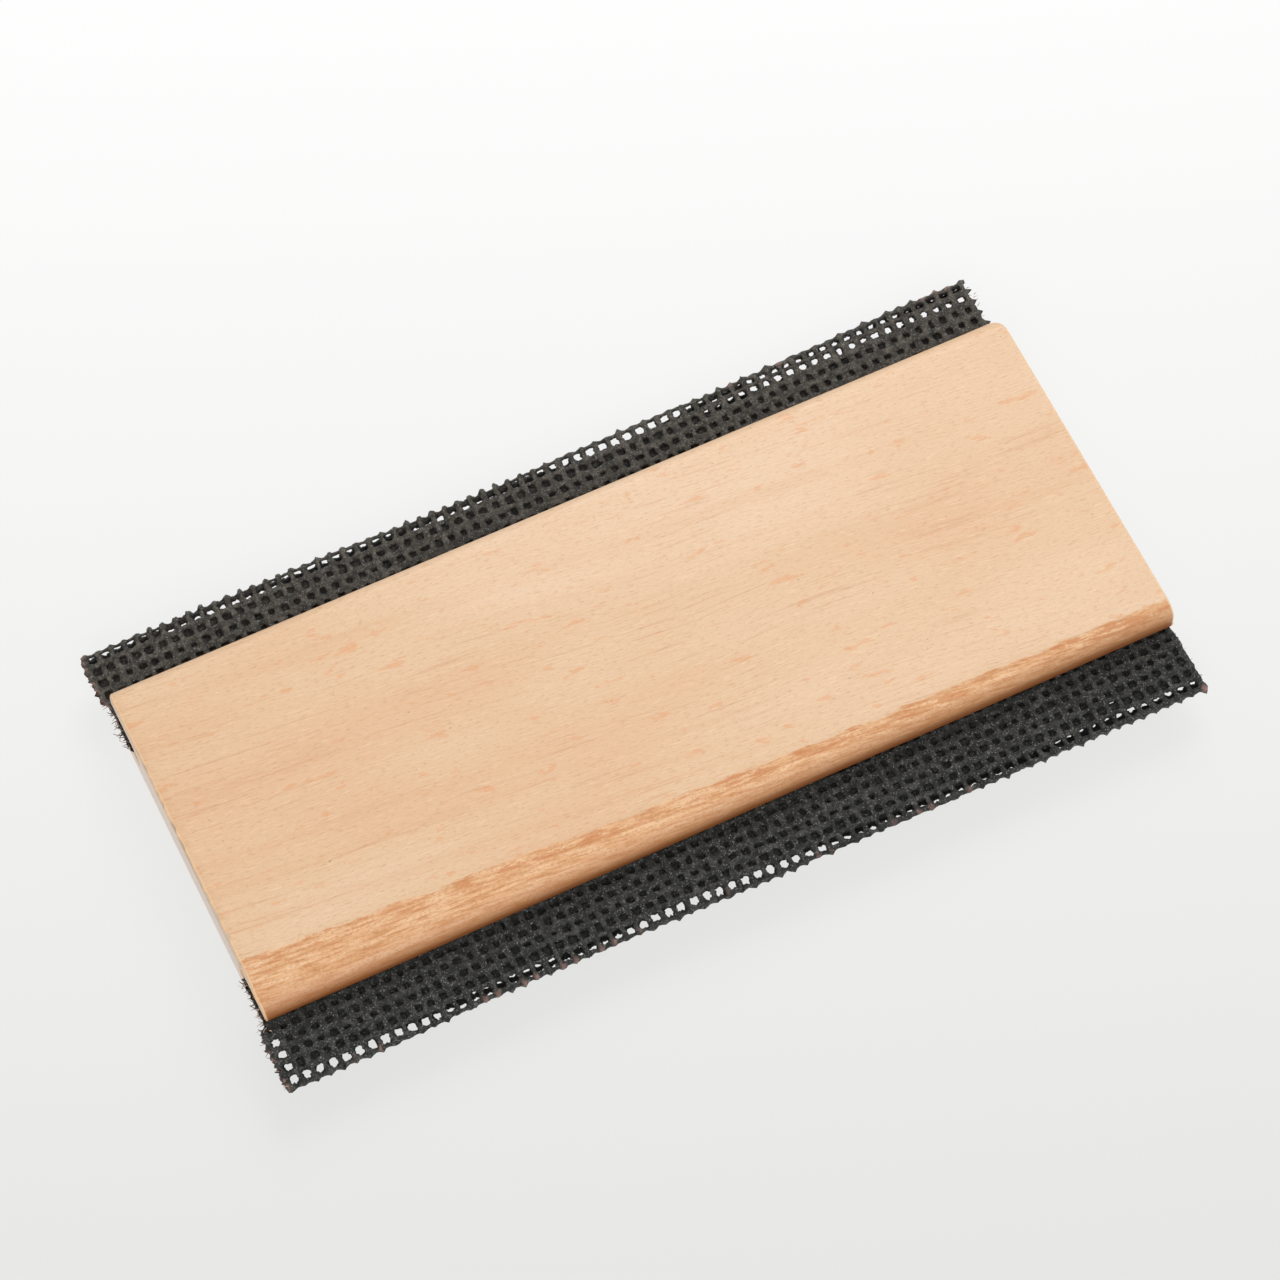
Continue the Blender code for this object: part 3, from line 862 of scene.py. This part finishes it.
print("bare knuckles:", len(NEAR_BARE), "near and", len(FAR_BARE), "far")

# %% [markdown]
# With the tables in place, the four pieces are made and tied to the frame.

# %% The four pieces of net
near_strip = build_strip("near_net_strip_folded", -1, NEAR_WEAVE, NEAR_EDGE, NEAR_DRIFT, NONE,
                         NEAR_OUTER_HOLES, NEAR_SECOND_HOLES, 3, NEAR_BARE, 0.18 * MM, 2)
far_strip = build_strip("far_net_strip_folded", 1, FAR_WEAVE, FAR_EDGE, FAR_DRIFT, FAR_SQUEEZE,
                        FAR_OUTER_HOLES, FAR_SECOND_HOLES, 8, FAR_BARE, 0.7 * MM, 8)
near_inner = build_inner_leaf("near_net_inner_leaf", -1, NEAR_WEAVE, NEAR_EDGE, NONE, NEAR_INNER,
                              NEAR_LEAF_START, 5)
far_inner = build_inner_leaf("far_net_inner_leaf", 1, FAR_WEAVE, FAR_EDGE, FAR_SQUEEZE, FAR_INNER,
                             FAR_LEAF_START, 6)
for strip, node in ((near_strip, "near_net_strip"), (far_strip, "far_net_strip"),
                    (near_inner, "near_net_strip"), (far_inner, "far_net_strip")):
    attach(strip, "root")
    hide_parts(node)

# %% [markdown]
# ### Loose fibres
#
# Where the net was cut, the yarns come apart into short fibres. Each is a thin four-sided tube
# along a curved path, and all of them are worked out in one go.

# %% The bare yarn material
def make_bare_yarn():
    """Bare polyamide fibre: beige to pinkish brown by piece, slightly glossy, finely banded."""
    material, tree, output = new_material("bare_polyamide_fibre")
    tint = add_node(tree, "Attribute", attribute_name="tint").outputs["Fac"]
    stops = [(0.0, "#26221F"), (0.4, "#5E4A41"), (0.7, "#A98577"), (1.0, "#D9C8B4")]
    colour = add_node(tree, "ValToRGB", {"Fac": tint}, stops).outputs["Color"]
    coords = add_node(tree, "TexCoord").outputs["Object"]
    bands = add_node(tree, "TexNoise", {"Vector": coords, "Scale": 9000.0, "Detail": 2.0}).outputs["Fac"]
    bump = add_node(tree, "Bump", {"Height": bands, "Strength": 0.4, "Distance": 0.00002}).outputs["Normal"]
    shader = add_node(tree, "BsdfPrincipled", {"Base Color": colour, "Roughness": 0.5, "Normal": bump})
    tree.links.new(shader.outputs["BSDF"], output.inputs["Surface"])
    return material


bare_fibre = make_bare_yarn()
print(f"{bare_fibre.name}: {len(bare_fibre.node_tree.nodes)} nodes")

# %% [markdown]
# A fibre starts at a root on the cut end, heads outwards, and curls to one side with the square of
# the distance. The ring of four corners gets thinner towards the tip, where a cap closes the tube.

# %% Fibres at the cut ends
def fibres(name, roots, heading, length, radius, seed):
    """Tubes from roots (n, 3) along a heading: path(t) = root + length t heading + curl t^2 across it."""
    rng = np.random.default_rng(seed)
    n, rings, sides = len(roots), 6, 4
    aim = np.array(heading) + 0.55 * rng.standard_normal((n, 3)) * (0.5, 1.0, 0.45)
    aim /= np.linalg.norm(aim, axis=1, keepdims=True)
    curl = np.cross(aim, (0.0, 0.0, 1.0)) * rng.uniform(-0.9, 0.9, (n, 1))
    long = length * rng.uniform(0.35, 1.0, (n, 1, 1))
    t = np.linspace(0.0, 1.0, rings)[None, :, None]
    path = roots[:, None] + long * (t * aim[:, None] + t ** 2 * curl[:, None])
    along = aim[:, None] + 2 * t * curl[:, None]
    along /= np.linalg.norm(along, axis=2, keepdims=True)
    across = np.cross(along, (0.0, 0.0, 1.0))
    across /= np.linalg.norm(across, axis=2, keepdims=True)
    up = np.cross(across, along)
    angle = np.arange(sides) * 2 * math.pi / sides
    thick = (radius * rng.uniform(0.6, 1.2, (n, 1, 1, 1))) * (1 - 0.6 * t[..., None])
    ring = across[:, :, None] * np.cos(angle)[:, None] + up[:, :, None] * np.sin(angle)[:, None]
    points = path[:, :, None] + thick * ring
    index = np.arange(n * rings * sides).reshape(n, rings, sides)
    ahead = np.roll(index, -1, axis=2)
    walls = np.stack([index[:, :-1], ahead[:, :-1], ahead[:, 1:], index[:, 1:]], -1).reshape(-1, 4)
    caps = np.concatenate([index[:, 0, ::-1], index[:, -1]])
    tint = np.repeat(rng.random(n), rings * sides)
    piece = mesh_piece(name, points.reshape(-1, 3), np.concatenate([walls, caps]), bare_fibre, {"tint": tint})
    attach(piece, "root")
    return piece


def cut_edge_roots(x, first, last, count, seed):
    """Places along a cut end: y spread evenly and shaken a little, z within the folded strip."""
    rng = np.random.default_rng(seed)
    y = np.linspace(first, last, count) + 0.25 * rng.standard_normal(count)
    z = MID_HEIGHT / MM + rng.uniform(-0.6, 0.7, count)
    return np.stack([x + 0.12 * rng.standard_normal(count), y, z], 1) * MM


CUT_ENDS = (    # name, x, first y, last y in mm, how many, heading, length and radius in mm
    ("near_left_fibres", -63.1, -24.5, -32.8, 44, (-1.0, 0.0, 0.1), 0.85, 0.055),
    ("near_left_slot_fibres", -62.4, -17.5, -24.5, 44, (-1.0, 0.0, 0.2), 1.0, 0.08),
    ("far_left_fibres", -62.9, 24.5, 31.2, 22, (-1.0, 0.0, 0.1), 0.6, 0.05),
    ("far_left_slot_fibres", -62.4, 17.5, 24.5, 34, (-1.0, 0.0, 0.2), 1.0, 0.08),
    ("near_right_fibres", 62.3, -32.6, -24.6, 14, (1.0, -0.2, 0.1), 0.5, 0.05),
    ("far_right_fibres", 62.0, 24.8, 31.8, 14, (1.0, 0.2, 0.1), 0.6, 0.05),
)
for number, (name, x, first, last, many, heading, length, radius) in enumerate(CUT_ENDS):
    roots = cut_edge_roots(x, first, last, many, 21 + number)
    fibres(name, roots, heading, length * MM, radius * MM, 31 + number)

# %% [markdown]
# ### Set glue
#
# The two glue lines stay as the CAD has them, deep in the slots. They get the look of dried
# wood glue: honey yellow, slightly glossy and a little lumpy.

# %% Glue material
def make_set_glue():
    """Dried wood glue: honey colour that varies softly, satin gloss, soft lumps half a millimetre wide."""
    material, tree, output = new_material("set_wood_glue")
    coords = add_node(tree, "TexCoord").outputs["Object"]
    tone = add_node(tree, "TexNoise", {"Vector": coords, "Scale": 700.0, "Detail": 3.0}).outputs["Fac"]
    stops = [(0.35, "#B8935A"), (0.65, "#D9BE8C")]
    colour = add_node(tree, "ValToRGB", {"Fac": tone}, stops).outputs["Color"]
    bump = add_node(tree, "Bump", {"Height": tone, "Strength": 0.5, "Distance": 0.0002}).outputs["Normal"]
    shader = add_node(tree, "BsdfPrincipled", {"Base Color": colour, "Roughness": 0.35, "Normal": bump})
    tree.links.new(shader.outputs["BSDF"], output.inputs["Surface"])
    return material


set_glue = make_set_glue()
for node in ("near_glue_line", "far_glue_line"):
    for material_slot in bpy.data.objects[node].material_slots:
        material_slot.material = set_glue
print(f"{set_glue.name}: {len(set_glue.node_tree.nodes)} nodes, on both glue lines")
# %% [markdown]
# ## Floor, light and sky
#
# The block lies on a pale light table: a plain white sheet that glows a little, so hardly any
# shadow falls on it.

# %% The floor
FLOOR_REACH = 1.5
FLOOR_GAP = 0.2 * MM         # keeps the sheet just under the block's base


def make_floor():
    """A plain floor sheet that glows softly and is a little darker towards the viewer."""
    material, tree, output = new_material("light_table_acrylic")
    coords = add_node(tree, "TexCoord").outputs["Object"]
    place = add_node(tree, "SeparateXYZ", {"Vector": coords})
    bias = add_node(tree, "Math", {0: place.outputs["X"], 1: 0.35, 2: place.outputs["Y"]},
                    operation="MULTIPLY_ADD").outputs[0]
    near_far = add_node(tree, "MapRange", {
        "Value": bias, "From Min": -0.10, "From Max": 0.12, "To Min": 0.0, "To Max": 1.0,
    }).outputs["Result"]
    stops = [(0.0, "#D1D2D0"), (1.0, "#ECECEC")]
    glow = add_node(tree, "ValToRGB", {"Fac": near_far}, stops).outputs["Color"]
    shader = add_node(tree, "BsdfPrincipled", {
        "Base Color": linear("#5C5C5B"), "Roughness": 0.7, "Emission Color": glow, "Emission Strength": 1.0,
    })
    tree.links.new(shader.outputs["BSDF"], output.inputs["Surface"])
    mesh = bpy.data.meshes.new("floor")
    corners = [(across * FLOOR_REACH, along * FLOOR_REACH, 0) for across, along in
               ((-1, -1), (1, -1), (1, 1), (-1, 1))]
    mesh.from_pydata(corners, [], [(0, 1, 2, 3)])
    mesh.materials.append(material)
    floor = bpy.data.objects.new("floor", mesh)
    floor.location.z = -FLOOR_GAP
    scene.collection.objects.link(floor)


make_floor()
print(f"floor sheet {2 * FLOOR_REACH:.0f} m square, {FLOOR_GAP / MM:.1f} mm under the base")

# %% [markdown]
# One large soft light stands behind the block and high up, where the top face mirrors it and takes
# a broad satin sheen; the facet leans away from it and stays darker. A second soft light in front
# and an even grey sky fill the shadows.
# %% Lights
def add_soft_light(name, toward, distance, size, power):
    """A square area light at a distance along a direction from the block, aimed back at it."""
    data = bpy.data.lights.new(name, "AREA")
    data.shape, data.size, data.energy = "SQUARE", size, power
    light = bpy.data.objects.new(name, data)
    direction = np.array(toward, float) / np.linalg.norm(toward)
    light.location = direction * distance
    light.rotation_euler = Vector(-direction).to_track_quat("-Z", "Y").to_euler()
    scene.collection.objects.link(light)
    print(f"{name}: {power} W, {size} m square, {distance} m away")


add_soft_light("sheen_softbox", (0.42, 0.66, 0.75), 0.9, 0.6, 4.9)
add_soft_light("front_fill", (-0.3, -0.75, 0.9), 1.0, 0.7, 5.8)
world = bpy.data.worlds.new("studio")
scene.world = world
world.use_nodes = True
world.node_tree.nodes["Background"].inputs["Color"].default_value = linear("#E8E8E8")
world.node_tree.nodes["Background"].inputs["Strength"].default_value = 0.45
